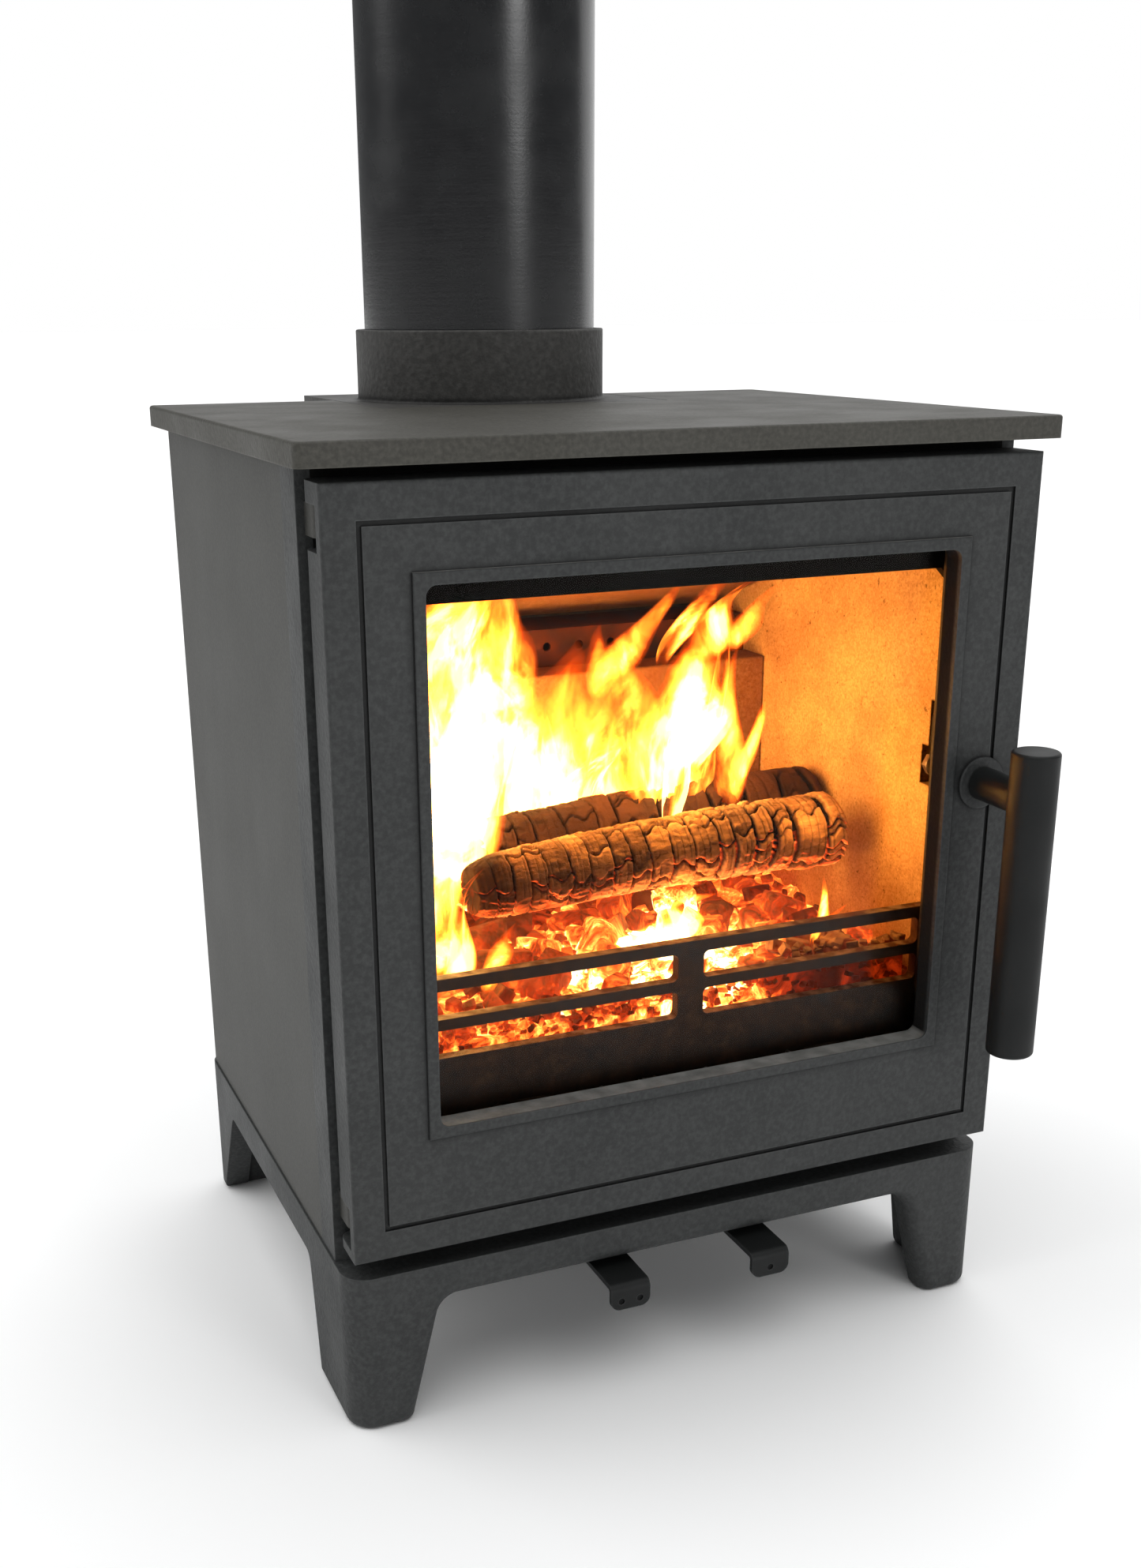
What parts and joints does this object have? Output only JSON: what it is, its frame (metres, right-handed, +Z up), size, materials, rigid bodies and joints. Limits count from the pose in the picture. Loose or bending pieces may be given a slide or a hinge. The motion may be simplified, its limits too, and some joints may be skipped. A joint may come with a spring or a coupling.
{
  "type": "wood burning stove",
  "caption": "Compact wood burning stove: glazed hinged door with turning bar handle, two sliding air controls, lined firebox with grate and fence, four-legged cast stand and a top flue pipe.",
  "frame": {"origin": "centre of the bounding box's bottom face, on the floor under the stove's centre line", "axes": "+Z up, +Y towards the back of the stove, +X to the right as seen from the front; the door faces -Y"},
  "size_m": [0.3662, 0.409, 0.712],
  "materials": {
    "painted_steel": "matt heat-resistant paint over steel plate",
    "painted_cast_iron": "matt heat-resistant paint over cast iron",
    "cast_iron_inner": "bare cast iron, browned by heat",
    "flue_black": "satin black stove paint",
    "handle_paint": "satin charcoal paint",
    "bare_steel": "bare steel",
    "zinc_steel": "zinc-plated steel",
    "vermiculite": "pressed vermiculite board",
    "rope": "knitted glass-fibre rope, black",
    "tape": "flat glass-fibre tape",
    "stove_glass": "clear ceramic glass",
    "bronze": "sintered bronze bush",
    "wood_log": "charred, cracked firewood",
    "embers": "glowing charcoal and ash"
  },
  "bodies": {
    "stove_body": {"base_stand": "painted_cast_iron", "base_bolts": "zinc_steel", "floor_plate": "painted_steel", "side_panel_left": "painted_steel", "side_panel_right": "painted_steel", "back_panel": "painted_steel", "front_frame": "painted_cast_iron", "latch_keeper": "bare_steel", "top_gasket": "tape", "top_plate": "painted_cast_iron", "top_plate_brackets": "painted_steel", "top_plate_bolts": "zinc_steel", "flue_collar": "painted_cast_iron", "flue_box": "painted_cast_iron", "flue_box_bolts": "zinc_steel", "flue_pipe": "flue_black", "flue_seal": "rope", "brick_left": "vermiculite", "brick_right": "vermiculite", "brick_back": "vermiculite", "rear_air_duct": "cast_iron_inner", "secondary_air_duct": "cast_iron_inner", "throat_plate": "vermiculite", "airwash_deflector": "cast_iron_inner", "hearth_shelf": "cast_iron_inner", "shelf_rails": "painted_steel", "grate": "cast_iron_inner", "front_fence": "cast_iron_inner", "ash_pan": "bare_steel", "ash_pan_runners": "painted_steel", "log_front": "wood_log", "log_rear": "wood_log", "ember_bed": "embers", "hinge_lug_lower": "painted_steel", "hinge_pin_lower": "bare_steel", "hinge_lug_upper": "painted_steel", "hinge_pin_upper": "bare_steel", "air_box": "painted_steel", "slide_guides": "painted_steel"},
    "door": {"door_frame": "painted_cast_iron", "spindle_bush": "bronze", "glass_pane": "stove_glass", "glass_seal": "tape", "glass_clips": "bare_steel", "glass_clip_screws": "zinc_steel", "door_rope": "rope"},
    "door_handle": {"handle_spindle": "handle_paint", "handle_bar": "handle_paint", "latch_cam": "bare_steel", "spindle_washer": "zinc_steel", "spindle_nut": "zinc_steel"},
    "primary_air_control": {"primary_air_slide": "handle_paint"},
    "secondary_air_control": {"secondary_air_slide": "handle_paint"}
  },
  "joints": [
    {"name": "door_hinge", "type": "hinge", "parent": "stove_body", "child": "door", "pos_m": [-0.1673, -0.137, 0.27], "axis": [0, 0, -1], "range_deg": [0, 110]},
    {"name": "handle_turn", "type": "hinge", "parent": "door", "child": "door_handle", "pos_m": [0.1525, -0.156, 0.2884], "axis": [0, -1, 0], "range_deg": [-15, 90]},
    {"name": "primary_air_pull", "type": "slide", "parent": "stove_body", "child": "primary_air_control", "axis": [0, -1, 0], "range_m": [-0.015, 0.013]},
    {"name": "secondary_air_pull", "type": "slide", "parent": "stove_body", "child": "secondary_air_control", "axis": [0, -1, 0], "range_m": [-0.015, 0.013]}
  ]
}
